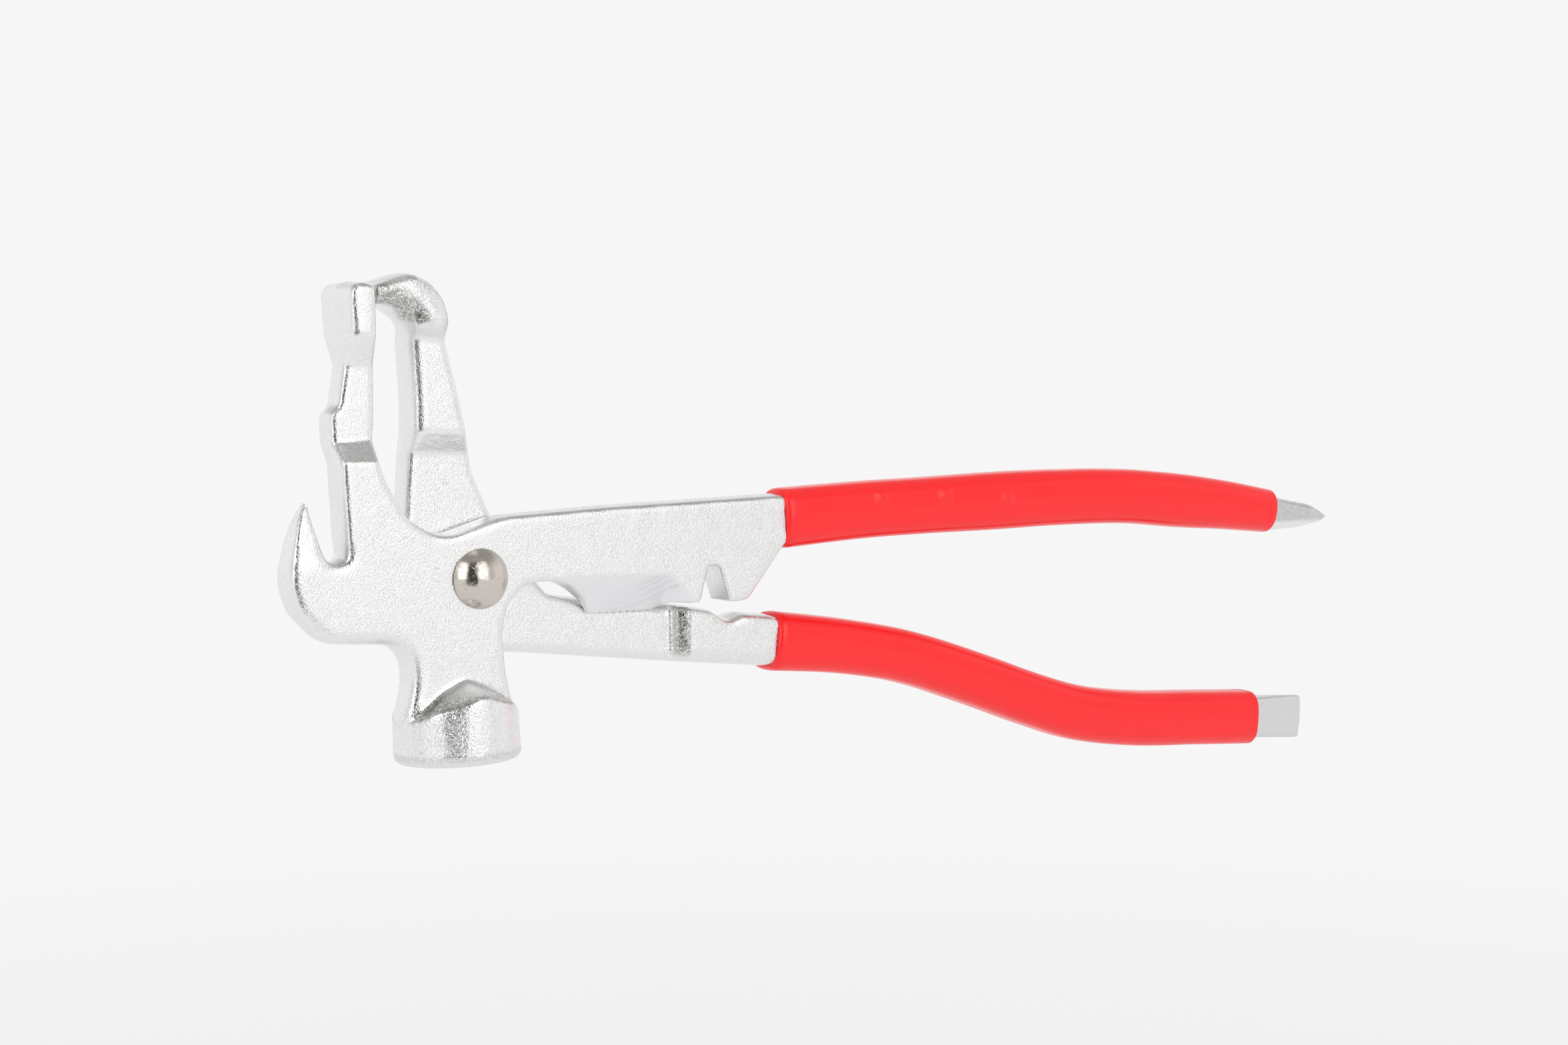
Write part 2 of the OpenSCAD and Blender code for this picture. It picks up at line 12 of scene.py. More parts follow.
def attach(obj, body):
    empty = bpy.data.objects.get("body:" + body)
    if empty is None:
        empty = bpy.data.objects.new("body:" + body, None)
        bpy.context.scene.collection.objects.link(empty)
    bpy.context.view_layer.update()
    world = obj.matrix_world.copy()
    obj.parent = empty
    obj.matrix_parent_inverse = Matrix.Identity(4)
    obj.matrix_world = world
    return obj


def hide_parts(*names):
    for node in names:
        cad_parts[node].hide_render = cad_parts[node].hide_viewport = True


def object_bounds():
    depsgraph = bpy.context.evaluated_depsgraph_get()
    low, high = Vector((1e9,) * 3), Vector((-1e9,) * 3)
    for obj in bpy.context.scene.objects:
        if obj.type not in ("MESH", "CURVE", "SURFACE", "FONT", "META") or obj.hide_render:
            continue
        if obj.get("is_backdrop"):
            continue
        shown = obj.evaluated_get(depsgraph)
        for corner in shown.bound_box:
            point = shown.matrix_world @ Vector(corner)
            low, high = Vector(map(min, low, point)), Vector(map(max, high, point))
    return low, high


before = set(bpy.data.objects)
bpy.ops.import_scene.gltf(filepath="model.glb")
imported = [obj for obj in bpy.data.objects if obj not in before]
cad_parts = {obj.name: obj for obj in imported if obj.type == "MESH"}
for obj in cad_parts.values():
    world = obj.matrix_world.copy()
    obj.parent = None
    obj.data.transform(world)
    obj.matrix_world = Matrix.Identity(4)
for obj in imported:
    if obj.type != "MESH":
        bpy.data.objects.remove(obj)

bl_info = {
    "name": "Wheel weight pliers",
    "version": (1, 0, 0),
    "blender": (4, 5, 0),
    "location": "View3D > Sidebar > Pliers",
    "description": "Builds forged wheel weight pliers with dipped grips",
    "category": "Object",
}

MM = 0.001

# The rivet's axis, in millimetres from the middle of the hammer's face
PIVOT_X, PIVOT_Z = 3.0, 36.0

# Planes of the plates and of the lower handle, in millimetres along Y
FACE_Y = -4.25
MEET_Y = 4.25
HOOK_FRONT_Y = 1.35
HOOK_BACK_Y = 10.95

# How far the hammer's face leans, and the turn past which an edge stays sharp in the shading
FACE_LEAN = math.radians(3.0)
SHARP_TURN = math.radians(48.0)

# Tints of the plating: painted shade in the grain's hollows, its own tint where it is ground, a painted
# reflection of the pale floor on the smooth folds, the bare ends' own tint, also laid as painted shade on
# the awl's upper side and the head's foot, and painted shade on stretches of both levers
HOLLOW_SHADE_TINT = (0.42, 0.41, 0.40, 1.0)
GROUND_TINT = (0.84, 0.855, 0.885, 1.0)
FOLDED_REFLECTION_TINT = (0.90, 0.905, 0.93, 1.0)
DRAWN_AND_SHADE_TINT = (0.68, 0.68, 0.685, 1.0)
PAINTED_SHADE_TINT = (0.33, 0.32, 0.30, 1.0)

# Tints of the nickel's scuffs, and of the vinyl's shade and specks
SCUFF_TINT = (0.40, 0.37, 0.35, 1.0)
VINYL_SHADE = (0.86, 0.011, 0.013, 1.0)
SPECK_TINT = (1.0, 0.45, 0.42, 1.0)

# Soft nibs of vinyl near the mouth of the upper grip, and their radius, in metres
NIB_RADIUS = 0.0026
NIBS = ((0.0988, -0.0056, 0.0499), (0.1156, -0.0056, 0.0500), (0.1324, -0.0056, 0.0487))

# How far the studio is turned from the tool's +Y, in degrees, and the way from the tool to its front.
# Its walls, lamps and cards are fixed in the room.
STUDIO_TURN = 33.2
FRONT = (-math.sin(math.radians(STUDIO_TURN)), -math.cos(math.radians(STUDIO_TURN)), 0.0)

# The camera's place in the studio, in metres, and how far it looks down, in degrees
CAMERA_PLACE = (-0.27476, -0.53786, 0.07845)
CAMERA_DIP = 3.0

# Tints of the studio: its walls, front and top as the metal mirrors them, its dark cards and its floor
TENT_WALL = (0.97, 0.97, 0.97, 1.0)
TENT_FRONT = (0.62, 0.605, 0.595, 1.0)
TENT_TOP = (0.42, 0.41, 0.40, 1.0)
CARD_TINT = (0.05, 0.045, 0.042, 1.0)
FLOOR_TINT = (0.95, 0.945, 0.945, 1.0)


# Shared mesh code


def link(obj):
    """Puts the object in the scene."""
    bpy.context.scene.collection.objects.link(obj)
    return obj


def baked(obj, name):
    """The evaluated object as a plain new object, with obj removed."""
    depsgraph = bpy.context.evaluated_depsgraph_get()
    mesh = bpy.data.meshes.new_from_object(obj.evaluated_get(depsgraph), depsgraph=depsgraph)
    mesh.name = name
    bpy.data.objects.remove(obj)
    return link(bpy.data.objects.new(name, mesh))


def merged_copy(node, name):
    """A copy of a CAD node's mesh with its loose triangles merged."""
    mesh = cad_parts[node].data.copy()
    mesh.materials.clear()
    body = bmesh.new()
    body.from_mesh(mesh)
    bmesh.ops.remove_doubles(body, verts=body.verts, dist=1e-6)
    bmesh.ops.recalc_face_normals(body, faces=body.faces)
    body.to_mesh(mesh)
    body.free()
    return link(bpy.data.objects.new(name, mesh))


def points_of(mesh):
    """Vertices from the pivot, in millimetres, and their normals."""
    count = len(mesh.vertices)
    places = np.empty(count * 3, np.float32)
    mesh.vertices.foreach_get("co", places)
    normals = np.empty(count * 3, np.float32)
    mesh.vertex_normals.foreach_get("vector", normals)
    places = places.reshape(-1, 3) / MM
    places -= (PIVOT_X, 0.0, PIVOT_Z)
    return places, normals.reshape(-1, 3)


def step(low, high, value):
    """0 before low, 1 past high, and smooth between them. Low may be the larger of the two."""
    share = np.clip((value - low) / (high - low), 0.0, 1.0)
    return share * share * (3.0 - 2.0 * share)


def within(value, low, high, soft):
    """1 between low and high, fading to 0 over soft on each side."""
    return step(low - soft, low, value) * (1.0 - step(high, high + soft, value))


def paint(mesh, name, values):
    """Stores one number per vertex for the materials."""
    attribute = mesh.attributes.new(name, "FLOAT", "POINT")
    attribute.data.foreach_set("value", np.asarray(values, np.float32))


def weigh(obj, name, values, levels=16):
    """A vertex group with these weights."""
    group = obj.vertex_groups.new(name=name)
    marks = np.round(np.clip(values, 0.0, 1.0) * levels).astype(int)
    for mark in range(1, levels + 1):
        chosen = np.flatnonzero(marks == mark)
        if len(chosen):
            group.add(chosen.tolist(), mark / levels, "REPLACE")


def smooth(obj, name, rounds, group):
    """Rounds of smoothing, as strong as the group's weights."""
    change = obj.modifiers.new(name, "SMOOTH")
    change.factor = 0.5
    change.iterations = rounds
    change.vertex_group = group


def lumps(obj, name, size, height, group):
    """Low lumps over the surface, as dies leave them, most of them sunk below the plain surface."""
    texture = bpy.data.textures.new(name, "CLOUDS")
    texture.noise_scale = size
    texture.noise_depth = 1
    change = obj.modifiers.new(name, "DISPLACE")
    change.texture = texture
    change.texture_coords = "LOCAL"
    change.strength = height
    change.mid_level = 0.75
    change.vertex_group = group


def finished(obj, node, body, material):
    """Dresses a made piece, which then rides on its body in place of its CAD node."""
    obj.data.materials.clear()
    obj.data.materials.append(material)
    obj.data.shade_smooth()
    obj.data.set_sharp_from_angle(angle=SHARP_TURN)
    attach(obj, body)
    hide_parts(node)


# Node trees


class Nodes:
    """Adds nodes to a tree and joins them."""

    def __init__(self, tree):
        self.tree = tree
        tree.nodes.clear()

    def add(self, kind, inputs=None, **settings):
        """A node with these inputs, each a socket or a plain value."""
        node = self.tree.nodes.new(kind)
        for key, value in settings.items():
            setattr(node, key, value)
        for key, value in (inputs or {}).items():
            self.give(node, key, value)
        return node

    def give(self, node, key, value):
        """Sets one input, or joins a socket to it."""
        if isinstance(value, bpy.types.NodeSocket):
            self.tree.links.new(value, node.inputs[key])
        else:
            node.inputs[key].default_value = value

    def math(self, operation, a, b=0.0):
        """The result of one Math node."""
        return self.add("ShaderNodeMath", {0: a, 1: b}, operation=operation).outputs[0]

    def span(self, value, low, high, to_low=0.0, to_high=1.0, kind="SMOOTHSTEP"):
        """The value mapped from low and high to to_low and to_high, and held there beyond them."""
        ends = {"Value": value, "From Min": low, "From Max": high, "To Min": to_low, "To Max": to_high}
        return self.add("ShaderNodeMapRange", ends, interpolation_type=kind).outputs["Result"]

    def noise(self, place, scale, detail=2.0, roughness=0.5, distortion=0.0):
        """Noise from 0 to 1, mostly near 0.5, with the scale in waves per metre."""
        inputs = {"Vector": place, "Scale": scale, "Detail": detail}
        inputs.update({"Roughness": roughness, "Distortion": distortion})
        return self.add("ShaderNodeTexNoise", inputs).outputs["Fac"]

    def mix(self, share, a, b):
        """A mix of two colours, which are inputs 6 and 7 and output 2 of the Mix node."""
        return self.add("ShaderNodeMix", {0: share, 6: a, 7: b}, data_type="RGBA").outputs[2]

    def spots(self, place, per_metre, rim, core, share):
        """1 in small round spots, one in each cell that draws more than share, fading from core to rim."""
        cells = self.add("ShaderNodeTexVoronoi", {"Vector": place, "Scale": per_metre}, feature="F1")
        lot = self.add("ShaderNodeSeparateColor", {0: cells.outputs["Color"]}).outputs[0]
        chosen = self.span(lot, share, share + 0.04)
        return self.math("MULTIPLY", self.span(cells.outputs["Distance"], rim, core), chosen)

    def painted(self, name):
        """The number that paint() stored on the mesh under this name."""
        return self.add("ShaderNodeAttribute", attribute_name=name).outputs["Fac"]

    def surface(self, inputs):
        """Ends a material in one Principled shader."""
        shader = self.add("ShaderNodeBsdfPrincipled", inputs)
        self.add("ShaderNodeOutputMaterial", {"Surface": shader.outputs[0]})


def new_material(name):
    """A material with an empty tree, and the helper that fills it."""
    material = bpy.data.materials.new(name)
    material.use_nodes = True
    return material, Nodes(material.node_tree)


def new_tree(name, inputs):
    """A node tree from mesh to mesh with these named inputs, its helper and its inputs' identifiers."""
    tree = bpy.data.node_groups.new(name, "GeometryNodeTree")
    sockets = tree.interface
    sockets.new_socket(name="Geometry", in_out="INPUT", socket_type="NodeSocketGeometry")
    identifiers = {}
    for key, kind in inputs.items():
        socket = sockets.new_socket(name=key, in_out="INPUT", socket_type="NodeSocket" + kind)
        identifiers[key] = socket.identifier
    sockets.new_socket(name="Geometry", in_out="OUTPUT", socket_type="NodeSocketGeometry")
    return tree, Nodes(tree), identifiers


def end_tree(n, geometry, finish):
    """Ends a tree with real, dressed geometry."""
    real = n.add("GeometryNodeRealizeInstances", {"Geometry": geometry})
    dressed = n.add("GeometryNodeSetMaterial", {"Geometry": real.outputs[0], "Material": finish})
    n.add("NodeGroupOutput", {"Geometry": dressed.outputs[0]})


def grown(mesh, name, tree, identifiers, values):
    """A plain new object that the tree makes from the mesh with these values."""
    obj = link(bpy.data.objects.new(mesh.name, mesh))
    change = obj.modifiers.new(tree.name, "NODES")
    change.node_group = tree
    for key, value in values.items():
        change[identifiers[key]] = value
    return baked(obj, name)


# Materials


def wheel_arcs(n, place, ground):
    """Arcs that a grinding wheel left on the cutter's bevel, round the wheel's own centre."""
    wheel_x, wheel_z = 0.0345, 0.0495
    inner, outer = 0.0155, 0.0235
    to_wheel = {"Vector": place, "Location": (-wheel_x, 0.0, -wheel_z)}
    away = n.add("ShaderNodeMapping", to_wheel).outputs[0]
    flat = n.add("ShaderNodeVectorMath", {0: away, 1: (1.0, 0.0, 1.0)}, operation="MULTIPLY").outputs[0]
    radius = n.add("ShaderNodeVectorMath", {0: flat}, operation="LENGTH").outputs["Value"]
    rings = n.add("ShaderNodeCombineXYZ", {"X": radius}).outputs[0]
    arcs = n.span(n.noise(rings, 3000.0, 3.0, 0.7), 0.50, 0.66)

    # The wheel touched a band between two radii, on its right side only
    band = n.math("MULTIPLY", n.span(radius, inner, inner + 0.002), n.span(radius, outer, outer - 0.0015))
    side = n.add("ShaderNodeSeparateXYZ", {0: away}).outputs["X"]
    swept = n.math("MULTIPLY", band, n.span(side, -0.002, 0.004))
    return n.math("MULTIPLY", n.math("MULTIPLY", arcs, ground), swept)


def plated_steel(settings):
    """Satin plating over a forged, orange-peel skin, smooth where it is ground or folded."""
    material, n = new_material("plated_steel")
    place = n.add("ShaderNodeTexCoord").outputs["Object"]
    grain, ground, folded = n.painted("grain"), n.painted("ground"), n.painted("folded")
    drawn_and_shade, painted_shade = n.painted("drawn_and_shade"), n.painted("painted_shade")

    # How high or deep each layer of the skin is, in grain depths
    coarse_height, broad_height, wrinkle_height = 3.6, 0.35, 1.2
    pit_depth, arc_depth = 1.2, 0.7

    # Orange peel: fine all over the die faces, with a coarser one where the grain is more than full
    full = n.math("MINIMUM", grain, 1.0)
    extra = n.math("MAXIMUM", n.math("SUBTRACT", grain, 1.0), 0.0)
    per_metre = 1.0 / settings.grain_size
    peel = n.noise(place, per_metre, 1.5, 0.5, 0.5)
    coarse = n.noise(place, per_metre * 0.45, 2.0, 0.55, 0.6)
    broad = n.noise(place, per_metre * 0.08, 2.0, 0.5)
    skin = n.math("MULTIPLY", peel, full)
    skin = n.math("ADD", skin, n.math("MULTIPLY", coarse, n.math("MULTIPLY", extra, coarse_height)))
    skin = n.math("ADD", skin, n.math("MULTIPLY", broad, broad_height))

    # Small round pits, wrinkles on the folds, and the wheel's arcs
    pits = n.spots(place, 170.0, 0.085, 0.03, 0.72)
    skin = n.math("SUBTRACT", skin, n.math("MULTIPLY", n.math("MULTIPLY", pits, grain), pit_depth))
    stretched = n.add("ShaderNodeMapping", {"Vector": place, "Scale": (0.7, 1.0, 1.2)}).outputs[0]
    wrinkles = n.noise(stretched, 900.0, 2.0, 0.6, 0.5)
    skin = n.math("ADD", skin, n.math("MULTIPLY", n.math("MULTIPLY", wrinkles, folded), wrinkle_height))
    height = n.math("SUBTRACT", skin, n.math("MULTIPLY", wheel_arcs(n, place, ground), arc_depth))
    bump = n.add("ShaderNodeBump", {"Strength": 1.0, "Distance": settings.grain_depth, "Height": height})

    # The plating's colour, with each tint laid over the last
    # Painted shade in the grain's hollows
    hollow_shade = n.math("MULTIPLY", n.span(peel, 0.56, 0.34), full)
    colour = n.mix(n.math("MULTIPLY", hollow_shade, 0.20), (*settings.colour, 1.0), HOLLOW_SHADE_TINT)
    # Painted shade, flecked by the peel, where the levers' masks ask for it
    flecked_shade = n.math("MULTIPLY", painted_shade, n.span(n.math("ADD", peel, coarse), 1.18, 0.86, 0.25, 1.0))
    # Tints laid in turn: the ground bevel's own, a painted reflection of the pale floor on the folds, the
    # bare ends' own with painted shade, and the flecked painted shade
    tints = ((ground, 0.8, GROUND_TINT), (folded, 0.9, FOLDED_REFLECTION_TINT), (drawn_and_shade, 0.85, DRAWN_AND_SHADE_TINT),
             (flecked_shade, 0.9, PAINTED_SHADE_TINT))
    for mask, strength, tint in tints:
        colour = n.mix(n.math("MULTIPLY", mask, strength), colour, tint)

    # Rougher off the die faces, and smoother where the grain is coarse
    uneven = n.noise(place, 260.0, 2.0)
    rough = n.span(uneven, 0.3, 0.7, settings.roughness - 0.04, settings.roughness + 0.05)
    rough = n.math("ADD", rough, n.math("MULTIPLY", n.math("SUBTRACT", 1.0, full), 0.10))
    rough = n.math("SUBTRACT", rough, n.math("MULTIPLY", extra, 0.18))
    n.surface({"Base Color": colour, "Metallic": 1.0, "Roughness": rough, "Normal": bump.outputs[0]})
    return material


STEEL = {}


def steel_of(settings):
    """Both levers share one plated steel."""
    if "plated" not in STEEL:
        STEEL["plated"] = plated_steel(settings)
    return STEEL["plated"]


def rivet_nickel(settings):
    """Polished nickel, a little uneven, with a few scuffs."""
    material, n = new_material("rivet_nickel")
    place = n.add("ShaderNodeTexCoord").outputs["Object"]
    scuffs = n.span(n.noise(place, 1500.0, 2.0, 0.7, 1.2), 0.60, 0.72)
    colour = n.mix(n.math("MULTIPLY", scuffs, 0.25), (*settings.colour, 1.0), SCUFF_TINT)
    rough = n.span(n.noise(place, 700.0, 3.0, 0.6), 0.3, 0.7, 0.12, 0.24)
    worn = n.math("ADD", n.noise(place, 330.0, 3.0, 0.55), n.math("MULTIPLY", scuffs, 0.15))
    bump = n.add("ShaderNodeBump", {"Strength": 0.6, "Distance": 0.0002, "Height": worn})
    n.surface({"Base Color": colour, "Metallic": 1.0, "Roughness": rough, "Normal": bump.outputs[0]})
    return material


def dipped_vinyl(settings):
    """Glossy dipped vinyl with a soft orange peel, a few small specks and three nibs."""
    material, n = new_material("dipped_vinyl")
    place = n.add("ShaderNodeTexCoord").outputs["Object"]
    specks = n.spots(place, 130.0, 0.04, 0.015, 0.70)
    shade = n.span(n.noise(place, 60.0, 2.0), 0.0, 1.0, 0.0, 0.5, "LINEAR")
    colour = n.mix(shade, (*settings.colour, 1.0), VINYL_SHADE)
    colour = n.mix(n.math("MULTIPLY", specks, 0.35), colour, SPECK_TINT)

    raised = n.math("MULTIPLY", specks, 0.2)
    for nib in NIBS:
        away = n.add("ShaderNodeVectorMath", {0: place, 1: nib}, operation="DISTANCE").outputs["Value"]
        raised = n.math("ADD", raised, n.span(away, NIB_RADIUS, 0.0))
    waves = n.noise(place, 110.0, 1.0, 0.4)
    height = n.math("ADD", n.math("MULTIPLY", waves, 0.7), n.math("MULTIPLY", raised, 3.0))
    bump = n.add("ShaderNodeBump", {"Strength": 0.5, "Distance": 0.0002, "Height": height})
    rough = n.span(n.noise(place, 90.0, 2.0), 0.0, 1.0, 0.16, 0.30, "LINEAR")
    n.surface({"Base Color": colour, "Roughness": rough, "Normal": bump.outputs[0], "IOR": 1.5})
    return material


# Settings


class ForgingSettings(bpy.types.PropertyGroup):
    """Sizes and finish of the two forged levers"""

    voxel: FloatProperty(
        name="Voxel", description="Size of the mesh's cells", default=0.00043, unit="LENGTH")
    softening: IntProperty(name="Softening", description="Rounds of smoothing over all edges", default=4)
    lump_size: FloatProperty(
        name="Lump size", description="Breadth of the forged skin's lumps", default=0.0035, unit="LENGTH")
    lump_height: FloatProperty(
        name="Lump height", description="Height of the forged skin's lumps", default=0.00004, unit="LENGTH")
    grain_size: FloatProperty(
        name="Grain size", description="Size of the orange-peel grain", default=0.00032, unit="LENGTH")
    grain_depth: FloatProperty(
        name="Grain depth", description="Depth of the orange-peel grain", default=0.00008, unit="LENGTH")
    roughness: FloatProperty(name="Roughness", description="Roughness of the plating", default=0.24)
    colour: FloatVectorProperty(
        name="Colour", description="Colour of the plating", default=(0.86, 0.865, 0.865), subtype="COLOR")


class CutterSettings(bpy.types.PropertyGroup):
    """Teeth of the cutter"""

    teeth: IntProperty(name="Teeth", description="Number of notches along the cutting edge", default=9)
    pitch: FloatProperty(
        name="Pitch", description="Distance from notch to notch", default=0.00165, unit="LENGTH")
    depth: FloatProperty(name="Depth", description="Depth of a notch", default=0.0008, unit="LENGTH")


class RivetSettings(bpy.types.PropertyGroup):
    """Sizes and finish of the pivot rivet"""

    diameter: FloatProperty(
        name="Head", description="Diameter of the domed head", default=0.012, unit="LENGTH")
    rise: FloatProperty(name="Rise", description="Height of the dome", default=0.0034, unit="LENGTH")
    back_rise: FloatProperty(
        name="Back", description="Height of the formed head", default=0.0022, unit="LENGTH")
    colour: FloatVectorProperty(
        name="Colour", description="Colour of the nickel", default=(0.63, 0.585, 0.54), subtype="COLOR")


class GripSettings(bpy.types.PropertyGroup):
    """Sizes and finish of the dipped grips"""

    start: FloatProperty(
        name="Start", description="Distance from the pivot to the mouth", default=0.0736, unit="LENGTH")
    end: FloatProperty(
        name="End", description="Distance from the pivot to the end", default=0.209, unit="LENGTH")
    wall: FloatProperty(name="Wall", description="Thickness of the vinyl", default=0.0013, unit="LENGTH")
    clearance: FloatProperty(
        name="Clearance", description="Room between the vinyl and the steel", default=0.0001, unit="LENGTH")
    taper: FloatProperty(
        name="End taper", description="Narrowing of the sides at the end", default=0.0012, unit="LENGTH")
    unevenness: FloatProperty(
        name="Unevenness", description="How far the vinyl's skin sinks in places", default=0.00008,
        unit="LENGTH")
    sides: IntProperty(name="Sides", description="Points round the grip", default=64)
    colour: FloatVectorProperty(
        name="Colour", description="Colour of the vinyl", default=(0.95, 0.014, 0.017), subtype="COLOR")


class StageSettings(bpy.types.PropertyGroup):
    """Floor, light and camera"""

    background: FloatVectorProperty(
        name="Background", description="Colour of the floor and the backdrop",
        default=(0.93, 0.925, 0.925), subtype="COLOR")
    drop: FloatProperty(
        name="Drop", description="Room under the closed pliers, for the lower handle to swing down",
        default=0.115, unit="LENGTH")
    focal_length: FloatProperty(
        name="Lens", description="Focal length of the camera in millimetres", default=70.0)


# Levers


def forged(node, name, settings):
    """The lever as one even mesh."""
    obj = merged_copy(node, name + "_core")
    change = obj.modifiers.new("Even cells", "REMESH")
    change.mode = "VOXEL"
    change.voxel_size = settings.voxel
    change.use_smooth_shade = True
    return baked(obj, name)


# Masks of the levers, whose places are in millimetres from the pivot


def folded_slopes(z, across, up):
    """The slopes on the jaws that face forwards and down, which the dies left smooth, and whose colour
    carries a painted reflection of the pale floor.
    """
    return step(0.2, 0.4, -up) * step(0.4, 0.6, -across) * within(z, 22.0, 52.0, 1.0)


def die_grain(across):
    """How textured each point of a forging is: full on the die faces, less on the trimmed sides."""
    return 0.85 + 0.15 * step(0.45, 0.7, np.abs(across))


def bare_end(x):
    """The end of a handle beyond its grip."""
    return step(205.0, 209.0, x)


class PLIERS_OT_hammer_lever(bpy.types.Operator):
    """Make the forging with the hammer, the claw, one jaw and the cutter"""

    bl_idname = "pliers.hammer_lever"
    bl_label = "Hammer lever"

    def execute(self, context):
        settings = context.scene.pliers_forging
        steel = steel_of(settings)
        obj = forged("hammer_lever", "hammer_forging", settings)
        self.weigh_parts(obj)
        smooth(obj, "Softened edges", settings.softening, "soft")
        smooth(obj, "Rounded shoulders", 14, "shoulders")
        smooth(obj, "Rounded awl", 14, "awl")
        smooth(obj, "Rounded claw and belly", 40, "belly")
        lumps(obj, "Die lumps", settings.lump_size, settings.lump_height, "skin")
        obj = self.cut_teeth(baked(obj, "hammer_forging"), context.scene.pliers_cutter, steel)
        self.paint_masks(obj.data)
        finished(obj, "hammer_lever", "hammer_half", steel)
        return {"FINISHED"}

    def weigh_parts(self, obj):
        """Weights for what is smoothed and what is lumpy."""
        places, normals = points_of(obj.data)
        x, y, z = places.T
        across, up = normals[:, 1], normals[:, 2]
        head = step(-22.0, -25.0, z) * step(40.0, 30.0, x)
        bevel = within(x, 17.0, 46.5, 0.5) * within(z, -10.0, -0.2, 0.4) * step(0.25, 0.5, -up)
        bevel *= step(0.3, 0.5, -across)
        edge = within(x, 26.0, 61.0, 2.0) * within(z, -12.0, 2.0, 1.0)
        claw_point = step(-32.0, -34.0, x) * step(4.0, 8.0, z)
        sharp = np.maximum.reduce([edge, bare_end(x), claw_point])
        skin = step(0.6, 0.9, np.abs(across)) * (1.0 - sharp) * (1.0 - bevel)
        shoulders = within(z, -26.0, -15.0, 1.5) * within(x, -17.0, 13.0, 1.0) * step(-2.0, -4.5, y)
        weigh(obj, "soft", 1.0 - 0.75 * sharp)
        weigh(obj, "skin", np.maximum(skin, head * 0.6))
        weigh(obj, "awl", step(212.0, 217.0, x))
        weigh(obj, "belly", step(-8.0, -11.0, x) * within(z, -20.0, 5.0, 4.0))
        weigh(obj, "shoulders", shoulders)

    def paint_masks(self, mesh):
        places, normals = points_of(mesh)
        x, _, z = places.T
        across, up = normals[:, 1], normals[:, 2]

        # The hammer head: the roof of its shoulders, and its foot and rim by the height above its face
        head = step(-21.0, -24.0, z) * step(40.0, 30.0, x)
        roof = head * step(0.30, 0.50, up)
        rise = math.cos(FACE_LEAN) * (z + PIVOT_Z) - math.sin(FACE_LEAN) * (x + PIVOT_X)
        foot = head * step(2.0, 1.0, rise)
        rim = head * within(rise, 1.5, 2.1, 0.6)

        # The cutter's ground bevel, and the awl with the underside of its stem
        bevel = within(x, 16.6, 53.5, 0.4) * within(z, -10.5, -0.2, 0.4)
        bevel *= step(0.12, 0.3, 1.0 + across) * step(0.2, 0.35, -across)
        stem = bare_end(x)
        lower = step(5.7, 4.7, z)

        fold = folded_slopes(z, across, up)
        grain = np.maximum(die_grain(across), head * (1.0 - foot) * (1.35 - 0.1 * roof))
        paint(mesh, "grain", grain * (1.0 - bevel) * (1.0 - 0.9 * stem) * (1.0 - 0.2 * fold))
        paint(mesh, "ground", bevel)
        # The folds' lighter tint is a painted reflection of the pale floor
        paint(mesh, "folded", 0.8 * fold)
        # The stem's own darker steel, kept to its upper side, so that side is painted shade and the
        # underside stays lighter; and painted shade on the head's foot
        paint(mesh, "drawn_and_shade", np.maximum(stem * (1.0 - 0.9 * lower), 0.35 * foot))
        # Painted shade on the roof of the head's shoulders, a painted shade line on its rim, and more on
        # the stem's upper side
        paint(mesh, "painted_shade", np.maximum.reduce([roof, 0.35 * rim, 0.4 * stem * (1.0 - lower)]))

    def cut_teeth(self, obj, cutter, steel):
        """The forging with the notches filed into its cutting edge."""
        rods = teeth_rods(cutter, steel)
        change = obj.modifiers.new("Teeth", "BOOLEAN")
        change.operation = "DIFFERENCE"
        change.solver = "EXACT"
        change.object = rods
        obj = baked(obj, "hammer_forging")
        bpy.data.objects.remove(rods)
        return obj


def teeth_rods(cutter, steel):
    """Square rods across the cutting edge, one for each notch, repeated by a node tree."""
    inputs = {"Teeth": "Int", "Pitch": "Float", "Depth": "Float", "Finish": "Material"}
    tree, n, identifiers = new_tree("Tooth rods", inputs)
    given = n.add("NodeGroupInput").outputs

    # The row climbs a little along the edge
    climb = n.math("MULTIPLY", given["Pitch"], 0.027)
    spacing = n.add("ShaderNodeCombineXYZ", {"X": given["Pitch"], "Z": climb}).outputs[0]
    row = n.add("GeometryNodeMeshLine", {"Count": given["Teeth"], "Offset": spacing})

    # A rod turned on its edge reaches into the steel by about 0.7 of its side
    side = n.math("MULTIPLY", given["Depth"], 1.42)
    size = n.add("ShaderNodeCombineXYZ", {"X": side, "Y": 0.006, "Z": side}).outputs[0]
    rod = n.add("GeometryNodeMeshCube", {"Size": size}).outputs[0]
    turn = (0.0, math.radians(45.0), 0.0)
    on_edge = n.add("GeometryNodeTransform", {"Geometry": rod, "Rotation": turn}).outputs[0]
    narrow = n.add("GeometryNodeTransform", {"Geometry": on_edge, "Scale": (0.95, 1.0, 1.0)}).outputs[0]
    rods = n.add("GeometryNodeInstanceOnPoints", {"Points": row.outputs[0], "Instance": narrow})
    end_tree(n, rods.outputs[0], given["Finish"])

    values = {"Teeth": cutter.teeth, "Pitch": cutter.pitch, "Depth": cutter.depth, "Finish": steel}
    obj = grown(bpy.data.meshes.new("tooth_row"), "tooth_rods", tree, identifiers, values)
    first = Vector((PIVOT_X + 29.6, MEET_Y, PIVOT_Z - 9.2)) * MM
    obj.data.transform(Matrix.Translation(first))
    return obj


